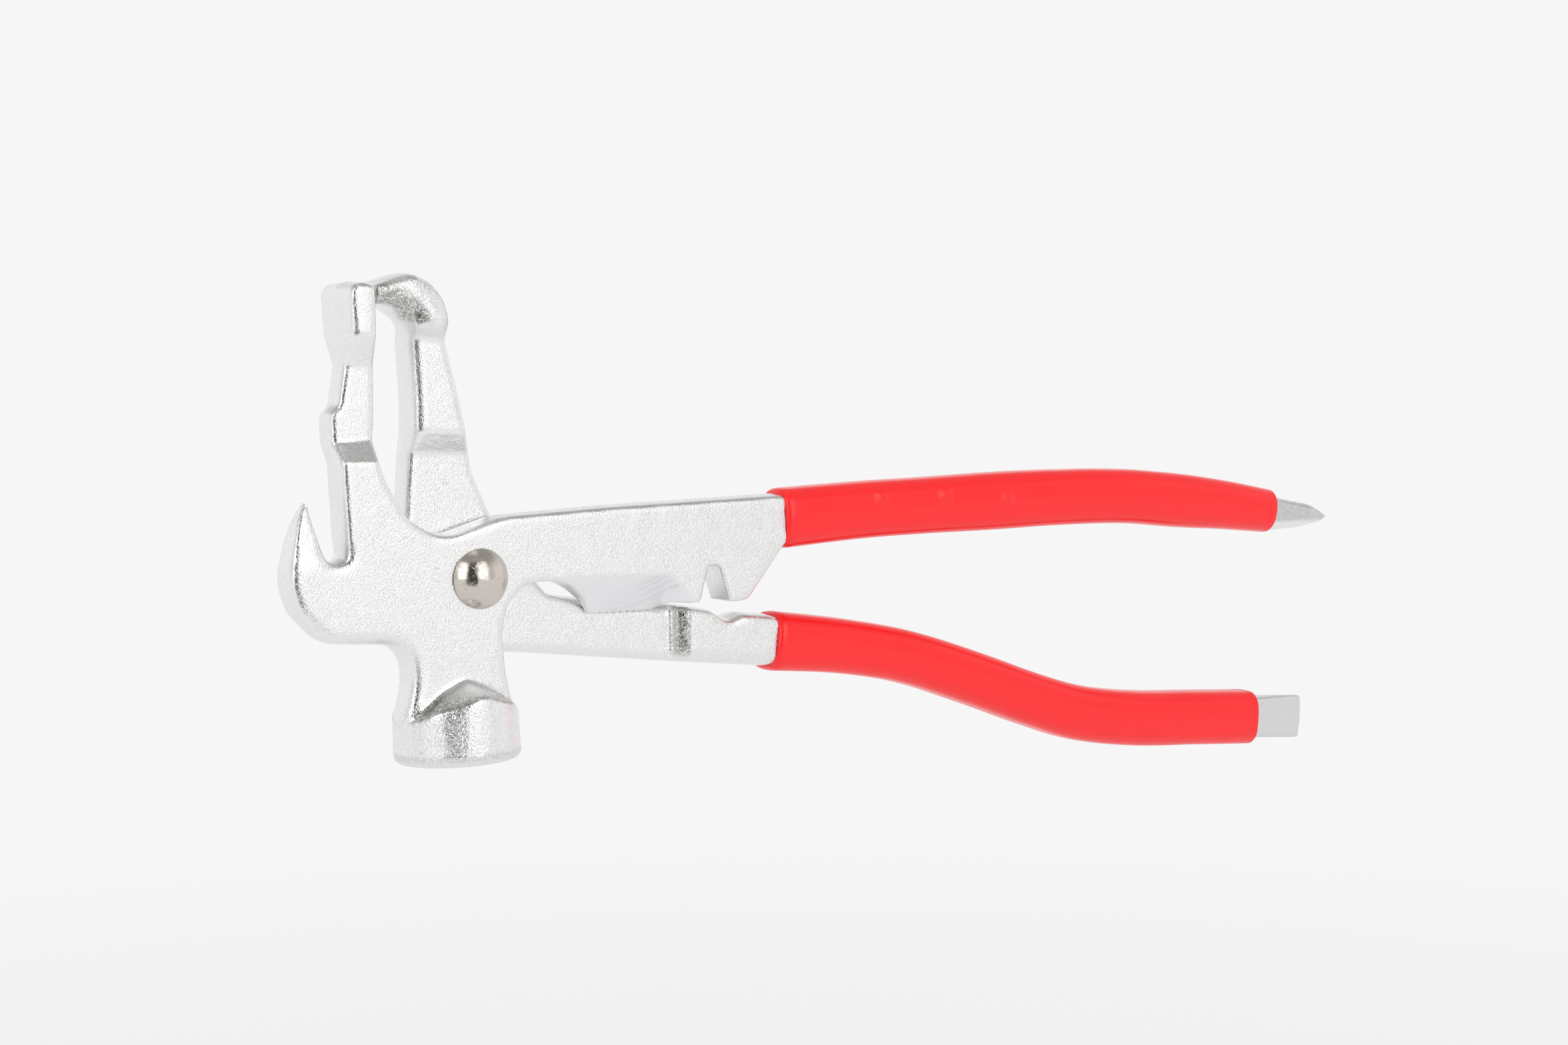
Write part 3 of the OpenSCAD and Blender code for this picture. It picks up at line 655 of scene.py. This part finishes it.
class PLIERS_OT_hook_lever(bpy.types.Operator):
    """Make the forging with the hooked jaw and the screwdriver"""

    bl_idname = "pliers.hook_lever"
    bl_label = "Hook lever"

    def execute(self, context):
        settings = context.scene.pliers_forging
        obj = forged("hook_lever", "hook_forging", settings)
        self.weigh_parts(obj)
        smooth(obj, "Softened edges", settings.softening, "soft")
        smooth(obj, "Rounded hook", 14, "hook")
        smooth(obj, "Softened step", 5, "folds")
        lumps(obj, "Die lumps", settings.lump_size, settings.lump_height, "skin")
        obj = baked(obj, "hook_forging")
        self.paint_masks(obj.data)
        finished(obj, "hook_lever", "hook_half", steel_of(settings))
        return {"FINISHED"}

    def weigh_parts(self, obj):
        """Weights for what is smoothed and what is lumpy."""
        places, normals = points_of(obj.data)
        x, y, z = places.T
        across = normals[:, 1]
        stem = bare_end(x)
        finger = within(x, -24.0, -19.0, 1.0) * step(50.0, 52.0, z)
        hook = step(50.5, 52.0, z)
        lumpy = np.maximum(step(0.6, 0.9, np.abs(across)), hook)
        weigh(obj, "soft", 1.0 - 0.7 * np.maximum(stem, finger))
        weigh(obj, "skin", lumpy * (1.0 - stem))
        weigh(obj, "folds", within(x, 47.5, 53.0, 1.0) * step(0.0, -2.0, z) * step(0.2, 0.5, -across))
        weigh(obj, "hook", step(49.0, 51.0, z) * step(-20.5, -19.0, x) * step(11.0, 8.0, y))

    def paint_masks(self, mesh):
        places, normals = points_of(mesh)
        x, _, z = places.T
        beside, across, up = normals.T
        facing = step(0.1, 0.3, -across)
        stem = bare_end(x)
        fold = folded_slopes(z, across, up)

        # Coarse skin on the hook's front and on the step of the lower arm
        hook = 1.5 * step(50.3, 51.2, z) * step(0.05, 0.3, -across)
        band = within(x, 48.5, 51.8, 0.5) * step(-4.0, -8.5, z) * step(-21.0, -19.0, z) * facing
        grain = np.maximum.reduce([die_grain(across), hook, 1.3 * band])

        # Painted shade low in the step's pocket, under the hook's arch and on the hook's right flank
        pocket = step(0.3, 0.7, band) * step(48.6, 49.8, x) * step(-19.5, -17.0, z)
        arch = np.hypot(x + 19.5, z - 46.5)
        shade = within(arch, 6.0, 10.6, 1.6) * step(50.0, 51.5, z + 0.1 * x + 1.4)
        shade *= step(0.1, 0.4, -across)
        flank = 0.6 * step(47.0, 49.5, z) * step(0.3, 0.6, beside)

        paint(mesh, "grain", grain * (1.0 - 0.9 * stem) * (1.0 - 0.7 * fold))
        # The folds' lighter tint is a painted reflection of the pale floor
        paint(mesh, "folded", fold * (0.3 + 0.7 * step(40.0, 35.0, z)))
        paint(mesh, "drawn_and_shade", stem)
        paint(mesh, "painted_shade", np.maximum.reduce([pocket, shade, flank]))


# Rivet


def turned(name, rings, sides=128):
    """A closed mesh turned about the pivot's axis, from pairs of radius and place along Y."""
    body = bmesh.new()
    rows = []
    for radius, y in rings:
        row = []
        for i in range(sides if radius > 0 else 1):
            angle = 2 * math.pi * i / sides
            x, z = PIVOT_X * MM + radius * math.cos(angle), PIVOT_Z * MM + radius * math.sin(angle)
            row.append(body.verts.new((x, y, z)))
        rows.append(row)
    for one, two in zip(rows, rows[1:]):
        for i in range(sides):
            j = (i + 1) % sides
            corners = [one[i % len(one)], one[j % len(one)], two[j % len(two)], two[i % len(two)]]
            corners = [v for k, v in enumerate(corners) if v not in corners[:k]]
            if len(corners) > 2:
                body.faces.new(corners)
    bmesh.ops.recalc_face_normals(body, faces=body.faces)
    mesh = bpy.data.meshes.new(name)
    body.to_mesh(mesh)
    body.free()
    return link(bpy.data.objects.new(name, mesh))


class PLIERS_OT_rivet(bpy.types.Operator):
    """Make the rivet: a domed head in front, a shank and a formed head behind"""

    bl_idname = "pliers.rivet"
    bl_label = "Pivot rivet"

    def execute(self, context):
        settings = context.scene.pliers_rivet
        radius = settings.diameter / 2
        shank = 3.5 * MM
        front, back = FACE_Y * MM, (HOOK_BACK_Y + 0.1) * MM
        head = self.dome(radius, settings.rise)
        formed = self.dome(radius, settings.back_rise)
        rings = [(r, front - h) for r, h in head] + [(shank, front), (shank, back)]
        rings += [(r, back + h) for r, h in reversed(formed)]
        obj = turned("rivet", rings)
        finished(obj, "pivot_rivet", "hammer_half", rivet_nickel(settings))
        return {"FINISHED"}

    def dome(self, radius, rise):
        """Radius and height pairs from the top of the dome to the foot of its rim."""
        rim, round_off = 0.4 * MM, 0.35 * MM
        dome_steps, rim_steps = 28, 5
        sphere = (radius * radius + rise * rise) / (2 * rise)
        spread = math.asin(radius / sphere) * 0.97
        turns = [spread * i / dome_steps for i in range(dome_steps + 1)]
        top = [(sphere * math.sin(a), rim + rise - sphere + sphere * math.cos(a)) for a in turns]
        inner, upper = top[-1]
        edge = []
        for k in range(1, rim_steps + 1):
            out = math.sin(math.pi / 2 * k / rim_steps)
            edge.append((inner + (radius - inner) * out, upper - (upper - round_off) * k / rim_steps))
        return top + edge + [(radius, 0.0)]


# Grips


def handle_stations(settings):
    """[x, z, half height] along each handle, from the pivot in millimetres, as the forgings have them."""
    start, end = settings.start / MM, settings.end / MM
    hammer = [
        (start, 9.8, 6.5), (92, 10.9, 6.3), (110, 11.5, 6.3), (128, 12, 6.5), (147, 12.4, 6.4),
        (165, 12.2, 6.3), (182, 10.8, 6.3), (196, 9.4, 5.8), (end, 7.7, 5.2),
    ]
    hook = [
        (start + 1.5, -16.8, 6.5), (92, -18.7, 6.1), (109, -21.9, 6), (127, -27.5, 6.1), (144, -33.4, 6.2),
        (158, -37.4, 6.4), (174, -39.6, 6.5), (192, -40.6, 6.5), (end, -41.5, 6.5),
    ]
    return hammer, hook


def glide(a, b, c, d, t):
    """Point of a smooth curve through a, b, c and d, at share t between b and c."""
    a, b, c, d = (np.array(v, float) for v in (a, b, c, d))
    bend = (2 * a - 5 * b + 4 * c - d) * t ** 2
    return 0.5 * (2 * b + (c - a) * t + bend + (3 * b - a - 3 * c + d) * t ** 3)


def filled(stations, steps):
    """The stations filled in: rows of x, z, half height and the direction of the handle."""
    last = len(stations) - 1
    rows = []
    for i in range(last):
        around = [stations[max(i - 1, 0)], stations[i], stations[i + 1], stations[min(i + 2, last)]]
        rows += [glide(*around, s / steps) for s in range(steps + (i == last - 1))]
    rows = np.array(rows)
    ahead = np.vstack([rows[1:], rows[-1:]])[:, :2] - np.vstack([rows[:1], rows[:-1]])[:, :2]
    return np.column_stack([rows, np.arctan2(ahead[:, 1], ahead[:, 0])])


def grip_rings(stations, front, back, settings):
    """Rings of the closed skin, out over the lip and the handle and back through the bore.
    Each is x, z, angle, shift along the handle, half height, half width, corner radius."""
    wall, room, taper = settings.wall / MM, settings.clearance / MM, settings.taper / MM
    bore = (back - front) / 2 + room
    width = bore + wall
    corner, bore_corner = 4.5, 1.2
    lip, end_round = 1.8, 2.6
    thin = 0.1
    rows = filled(stations, 10)
    mouth, tail = rows[0], rows[-1]
    rings = []

    def ring(row, shift, less_high, half_width, radius):
        x, z, half_height, angle = row
        rings.append((x, z, angle, shift, half_height - less_high, half_width, radius))

    for turn in np.radians(np.linspace(0, 90, 7)):
        less = (1 - math.sin(turn)) * wall * 0.9
        ring(mouth, -lip * math.cos(turn), thin + less, width - less, corner - less)
    for row in rows[1:-1]:
        ring(row, 0, thin, width, corner)
    for turn in np.radians(np.linspace(0, 90, 9)):
        less = wall * (1 - math.cos(turn))
        narrow = taper * (1 - math.cos(turn))
        shift = (math.sin(turn) - 1) * end_round
        ring(tail, shift, thin + less, width - less - narrow, corner - 2 * less)
    ring(tail, 0, wall, bore - taper, bore_corner)
    for row in rows[-2::-1]:
        ring(row, 0, wall, bore, bore_corner)
    ring(mouth, -lip, wall, bore, bore_corner)
    return np.array(rings)


def sweep_tree():
    """Node tree that puts a rounded rectangle round each ring's point and joins them into one skin."""
    inputs = {"Rings": "Int", "Sides": "Int", "Middle": "Float", "Flatness": "Float",
              "Unevenness": "Float", "Finish": "Material"}
    tree, n, identifiers = new_tree("Dipped sweep", inputs)
    given = n.add("NodeGroupInput").outputs

    # One row of the grid for each ring, and the first ring once more to close the skin
    rows = n.math("ADD", given["Rings"], 1.0)
    columns = n.math("ADD", given["Sides"], 1.0)
    size = {"Size X": 1.0, "Size Y": 1.0, "Vertices X": rows, "Vertices Y": columns}
    grid = n.add("GeometryNodeMeshGrid", size)
    index = n.add("GeometryNodeInputIndex").outputs[0]
    ring = n.math("FLOOR", n.math("DIVIDE", index, columns))
    place_round = n.math("SUBTRACT", index, n.math("MULTIPLY", ring, columns))
    ring = n.math("MODULO", ring, given["Rings"])
    angle = n.math("DIVIDE", n.math("MULTIPLY", place_round, 2 * math.pi), given["Sides"])

    def of_ring(name):
        value = n.add("GeometryNodeInputNamedAttribute", {"Name": name}, data_type="FLOAT")
        sample = n.add("GeometryNodeSampleIndex", data_type="FLOAT", domain="POINT")
        tree.links.new(given["Geometry"], sample.inputs["Geometry"])
        tree.links.new(value.outputs["Attribute"], sample.inputs["Value"])
        tree.links.new(ring, sample.inputs["Index"])
        return sample.outputs[0]

    corner = of_ring("corner")

    def across(half, share):
        side = n.math("MULTIPLY", share, given["Flatness"])
        side = n.math("MAXIMUM", n.math("MINIMUM", side, 1.0), -1.0)
        flat = n.math("MULTIPLY", n.math("SUBTRACT", half, corner), side)
        return n.math("ADD", flat, n.math("MULTIPLY", corner, share))

    up = across(of_ring("half_height"), n.math("COSINE", angle))
    out = across(of_ring("half_width"), n.math("SINE", angle))
    shift, lean = of_ring("shift"), of_ring("angle")
    lean_cos, lean_sin = n.math("COSINE", lean), n.math("SINE", lean)
    shift_x, shift_z = n.math("MULTIPLY", shift, lean_cos), n.math("MULTIPLY", shift, lean_sin)
    up_x, up_z = n.math("MULTIPLY", up, lean_sin), n.math("MULTIPLY", up, lean_cos)
    x = n.math("ADD", of_ring("x"), n.math("SUBTRACT", shift_x, up_x))
    z = n.math("ADD", of_ring("z"), n.math("ADD", shift_z, up_z))
    y = n.math("ADD", given["Middle"], out)
    place = n.add("ShaderNodeCombineXYZ", {"X": x, "Y": y, "Z": z}).outputs[0]
    placed = n.add("GeometryNodeSetPosition", {"Geometry": grid.outputs[0], "Position": place})
    joined = n.add("GeometryNodeMergeByDistance", {"Geometry": placed.outputs[0], "Distance": 1e-6})

    # The dip leaves the vinyl a little uneven, most of it sunk below the plain sweep
    waves = n.noise(n.add("GeometryNodeInputPosition").outputs[0], 70.0, 1.0)
    sunk = n.math("MULTIPLY", n.math("SUBTRACT", 0.75, waves), -1.0)
    sunk = n.math("MULTIPLY", sunk, given["Unevenness"])
    normal = n.add("GeometryNodeInputNormal").outputs[0]
    offset = n.add("ShaderNodeVectorMath", {0: normal, "Scale": sunk}, operation="SCALE").outputs[0]
    uneven = n.add("GeometryNodeSetPosition", {"Geometry": joined.outputs[0], "Offset": offset})
    end_tree(n, uneven.outputs[0], given["Finish"])
    return tree, identifiers


def swept_grip(name, stations, front, back, settings, material):
    """One grip: its rings as the points of a spine, which the node tree sweeps."""
    rings = grip_rings(stations, front, back, settings)
    rings[:, 0] += PIVOT_X
    rings[:, 1] += PIVOT_Z
    mesh = bpy.data.meshes.new(name + "_spine")
    mesh.from_pydata([(0.0, 0.0, i * MM) for i in range(len(rings))], [], [])
    columns = ("x", "z", "angle", "shift", "half_height", "half_width", "corner")
    for i, column in enumerate(columns):
        scale = 1.0 if column == "angle" else MM
        paint(mesh, column, rings[:, i] * scale)
    tree, identifiers = sweep_tree()
    values = {"Rings": len(rings), "Sides": settings.sides, "Middle": (front + back) / 2 * MM,
              "Flatness": 3.0, "Unevenness": settings.unevenness, "Finish": material}
    obj = grown(mesh, name, tree, identifiers, values)
    body = bmesh.new()
    body.from_mesh(obj.data)
    bmesh.ops.recalc_face_normals(body, faces=body.faces)
    body.to_mesh(obj.data)
    body.free()
    return obj


class PLIERS_OT_grips(bpy.types.Operator):
    """Make both dipped grips by a sweep along the handles"""

    bl_idname = "pliers.grips"
    bl_label = "Dipped grips"

    def execute(self, context):
        settings = context.scene.pliers_grips
        material = dipped_vinyl(settings)
        hammer, hook = handle_stations(settings)
        obj = swept_grip("upper_grip", hammer, FACE_Y, MEET_Y, settings, material)
        finished(obj, "hammer_lever_grip", "hammer_half", material)
        obj = swept_grip("lower_grip", hook, HOOK_FRONT_Y, HOOK_BACK_Y, settings, material)
        finished(obj, "hook_lever_grip", "hook_half", material)
        return {"FINISHED"}


# Stage


def toward(right, up, distance):
    """Point this many degrees to the right of the studio's front and above it, seen from the pivot."""
    turn, lift = math.radians(STUDIO_TURN - right), math.radians(up)
    way = Vector((-math.sin(turn) * math.cos(lift), -math.cos(turn) * math.cos(lift), math.sin(lift)))
    return Vector((PIVOT_X, 0.0, PIVOT_Z)) * MM + way * distance


def aimed(place, way):
    """Matrix of a lamp or camera at this place that looks this way."""
    return Matrix.Translation(place) @ way.to_track_quat("-Z", "Y").to_matrix().to_4x4()


def lamp(name, place, width, height, watts):
    """A softbox that shines on the pivot and that no camera sees."""
    light = bpy.data.lights.new(name, "AREA")
    light.shape = "RECTANGLE"
    light.size = width
    light.size_y = height
    light.energy = watts
    obj = link(bpy.data.objects.new(name, light))
    obj.visible_camera = False
    place, target = Vector(place), Vector((PIVOT_X, 0.0, PIVOT_Z)) * MM
    obj.matrix_world = aimed(place, target - place)


class PLIERS_OT_stage(bpy.types.Operator):
    """Set the floor, the light and the camera"""

    bl_idname = "pliers.stage"
    bl_label = "Studio stage"

    def execute(self, context):
        settings = context.scene.pliers_stage
        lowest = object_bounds()[0][2]
        self.floor(settings, lowest - settings.drop)
        self.world(context, settings)
        self.lamps()
        self.dark_cards(lowest + MM)
        self.camera(context, settings)
        context.scene.view_settings.view_transform = "Standard"
        return {"FINISHED"}

    def floor(self, settings, height):
        """A wide floor that turns into the plain backdrop away from the tool."""
        material, n = new_material("studio_floor")
        place = n.add("ShaderNodeTexCoord").outputs["Object"]
        middle = n.add("ShaderNodeVectorMath", {0: place, 1: (-0.1, 0.0, 0.0)}, operation="ADD").outputs[0]
        far = n.add("ShaderNodeVectorMath", {0: middle}, operation="LENGTH").outputs["Value"]
        share = n.span(far, 0.22, 0.75, 0.45, 1.0)
        near = n.add("ShaderNodeBsdfDiffuse", {"Color": FLOOR_TINT})
        away = n.add("ShaderNodeEmission", {"Color": (*settings.background, 1.0), "Strength": 1.0})
        both = n.add("ShaderNodeMixShader", {0: share, 1: near.outputs[0], 2: away.outputs[0]})
        n.add("ShaderNodeOutputMaterial", {"Surface": both.outputs[0]})
        mesh = bpy.data.meshes.new("floor")
        body = bmesh.new()
        bmesh.ops.create_circle(body, cap_ends=True, segments=64, radius=30.0)
        body.to_mesh(mesh)
        body.free()
        mesh.transform(Matrix.Translation((0.0, 0.0, height)))
        mesh.materials.append(material)
        link(bpy.data.objects.new("floor", mesh))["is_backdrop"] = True

    def world(self, context, settings):
        """The studio's tent: plain to the camera, and walls, front and top to the metal."""
        world = bpy.data.worlds.new("studio")
        context.scene.world = world
        world.use_nodes = True
        n = Nodes(world.node_tree)
        path = n.add("ShaderNodeLightPath").outputs
        seen = n.math("MAXIMUM", path["Is Camera Ray"], path["Is Transmission Ray"])
        way = n.add("ShaderNodeTexCoord").outputs["Generated"]
        up = n.add("ShaderNodeSeparateXYZ", {0: way}).outputs["Z"]
        ahead = n.add("ShaderNodeVectorMath", {0: way, 1: FRONT}, operation="DOT_PRODUCT").outputs["Value"]
        tent = n.mix(n.span(ahead, -0.05, 0.45), TENT_WALL, TENT_FRONT)
        tent = n.mix(n.span(up, 0.38, 0.78), tent, TENT_TOP)
        shown = n.mix(seen, tent, (*settings.background, 1.0))
        sight = n.add("ShaderNodeBackground", {"Color": shown, "Strength": 1.0})
        soft = n.add("ShaderNodeBackground", {"Color": (1.0, 1.0, 1.0, 1.0), "Strength": 0.75})
        direct = n.math("MAXIMUM", seen, path["Is Glossy Ray"])
        both = n.add("ShaderNodeMixShader", {0: direct, 1: soft.outputs[0], 2: sight.outputs[0]})
        n.add("ShaderNodeOutputWorld", {"Surface": both.outputs[0]})

    def lamps(self):
        """Two softboxes beside the camera and a dim one overhead, hidden from every camera."""
        lamp("Softbox right", toward(41.5, 25, 2.0), 1.42, 1.84, 10.0)
        lamp("Softbox left", toward(-30, 25, 2.0), 1.04, 1.84, 8.1)
        lamp("Softbox above", (0.06, 0.10, 1.3), 0.45, 0.45, 0.35)

    def dark_cards(self, floor):
        """The dark side of the studio, behind and below the camera: only the metal's reflections see it."""
        material, n = new_material("dark_card")
        dark = n.add("ShaderNodeEmission", {"Color": CARD_TINT, "Strength": 1.0})
        n.add("ShaderNodeOutputMaterial", {"Surface": dark.outputs[0]})
        near, far, top = 0.13, 0.95, 1.3
        corners = [
            (toward(-14, 0, far), floor), (toward(22, 0, far), floor),
            (toward(22, 0, far), top), (toward(-14, 0, far), top),
            (toward(-14, 0, near), floor), (toward(21, 0, near), floor),
            (toward(22, 0, far), floor), (toward(-14, 0, far), floor),
        ]
        mesh = bpy.data.meshes.new("dark_card")
        mesh.from_pydata([(v.x, v.y, height) for v, height in corners], [], [(0, 1, 2, 3), (4, 5, 6, 7)])
        mesh.materials.append(material)
        card = link(bpy.data.objects.new("dark_card", mesh))
        for flag in ("camera", "diffuse", "transmission", "shadow", "volume_scatter"):
            setattr(card, "visible_" + flag, False)
        card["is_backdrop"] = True

    def camera(self, context, settings):
        """The camera at the photograph's place and angle."""
        data = bpy.data.cameras.new("camera")
        data.lens = settings.focal_length
        data.sensor_width = 36.0
        data.clip_start = 0.01
        camera = link(bpy.data.objects.new("camera", data))
        turn, dip = math.radians(STUDIO_TURN), math.radians(CAMERA_DIP)
        look = Vector((math.sin(turn) * math.cos(dip), math.cos(turn) * math.cos(dip), -math.sin(dip)))
        camera.matrix_world = aimed(Vector(CAMERA_PLACE), look)
        context.scene.camera = camera


# Panel and registration


STEPS = ("hammer_lever", "hook_lever", "rivet", "grips", "stage")


class PLIERS_PT_panel(bpy.types.Panel):
    """Lists the pieces in the order in which they are made"""

    bl_idname = "PLIERS_PT_panel"
    bl_label = "Wheel weight pliers"
    bl_space_type = "VIEW_3D"
    bl_region_type = "UI"
    bl_category = "Pliers"

    def draw(self, context):
        for name in STEPS:
            self.layout.operator("pliers." + name)


SETTINGS = {
    "pliers_forging": ForgingSettings,
    "pliers_cutter": CutterSettings,
    "pliers_rivet": RivetSettings,
    "pliers_grips": GripSettings,
    "pliers_stage": StageSettings,
}
CLASSES = (
    *SETTINGS.values(), PLIERS_OT_hammer_lever, PLIERS_OT_hook_lever, PLIERS_OT_rivet, PLIERS_OT_grips,
    PLIERS_OT_stage, PLIERS_PT_panel,
)


def register():
    for cls in CLASSES:
        bpy.utils.register_class(cls)
    for name, group in SETTINGS.items():
        setattr(bpy.types.Scene, name, PointerProperty(type=group))


def unregister():
    for name in SETTINGS:
        delattr(bpy.types.Scene, name)
    for cls in reversed(CLASSES):
        bpy.utils.unregister_class(cls)


def main():
    """Makes every piece in order."""
    register()
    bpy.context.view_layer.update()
    for name in STEPS:
        getattr(bpy.ops.pliers, name)()


if __name__ == "__main__":
    main()
